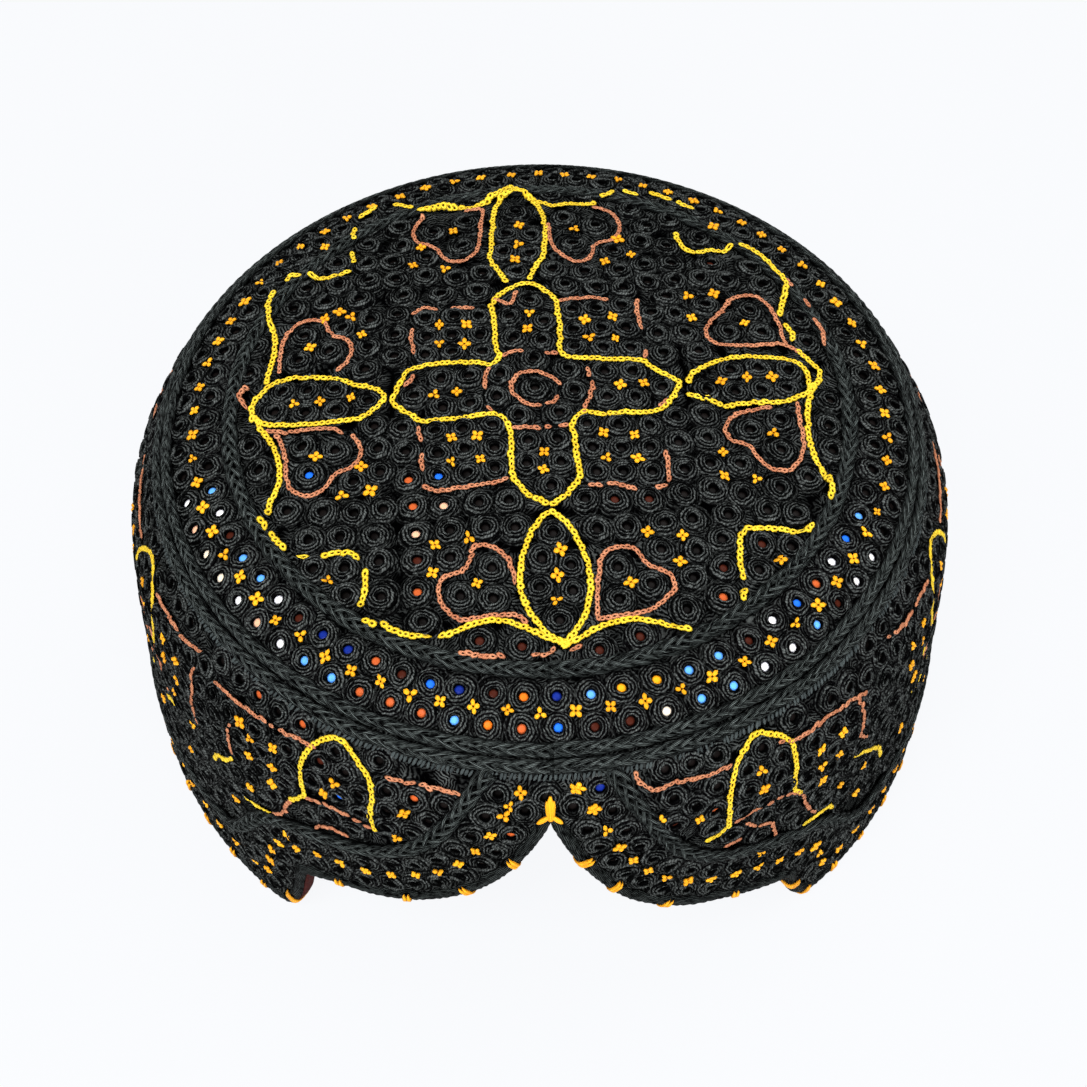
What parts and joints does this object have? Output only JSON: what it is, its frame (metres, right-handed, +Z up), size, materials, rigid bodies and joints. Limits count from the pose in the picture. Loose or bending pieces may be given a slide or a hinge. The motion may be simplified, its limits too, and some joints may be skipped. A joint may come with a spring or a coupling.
{
  "type": "sindhi cap",
  "caption": "Round quilted Sindhi cap with a slightly domed crown, a mirror-work band, and a soft wall with an arched two-lobed front cut-out; stands on its hem.",
  "frame": {"origin": "on the surface that the hem stands on, under the middle of the cap's outline", "axes": "+Z up along the cap's height, -Y out of the front cut-out, +X the wearer's left"},
  "size_m": [0.1892, 0.1854, 0.0911],
  "materials": {
    "quilted_cloth": "black cotton, quilted and covered with thread",
    "thread_braid": "black plaited thread with a soft sheen",
    "lining_cloth": "dark maroon plain cotton"
  },
  "bodies": {
    "root": {"crown": "quilted_cloth", "mirror_band": "quilted_cloth", "side_wall": "quilted_cloth", "inner_braid": "thread_braid", "outer_braid": "thread_braid", "hem_braid": "thread_braid", "hem_binding": "thread_braid", "lining": "lining_cloth"}
  },
  "joints": []
}
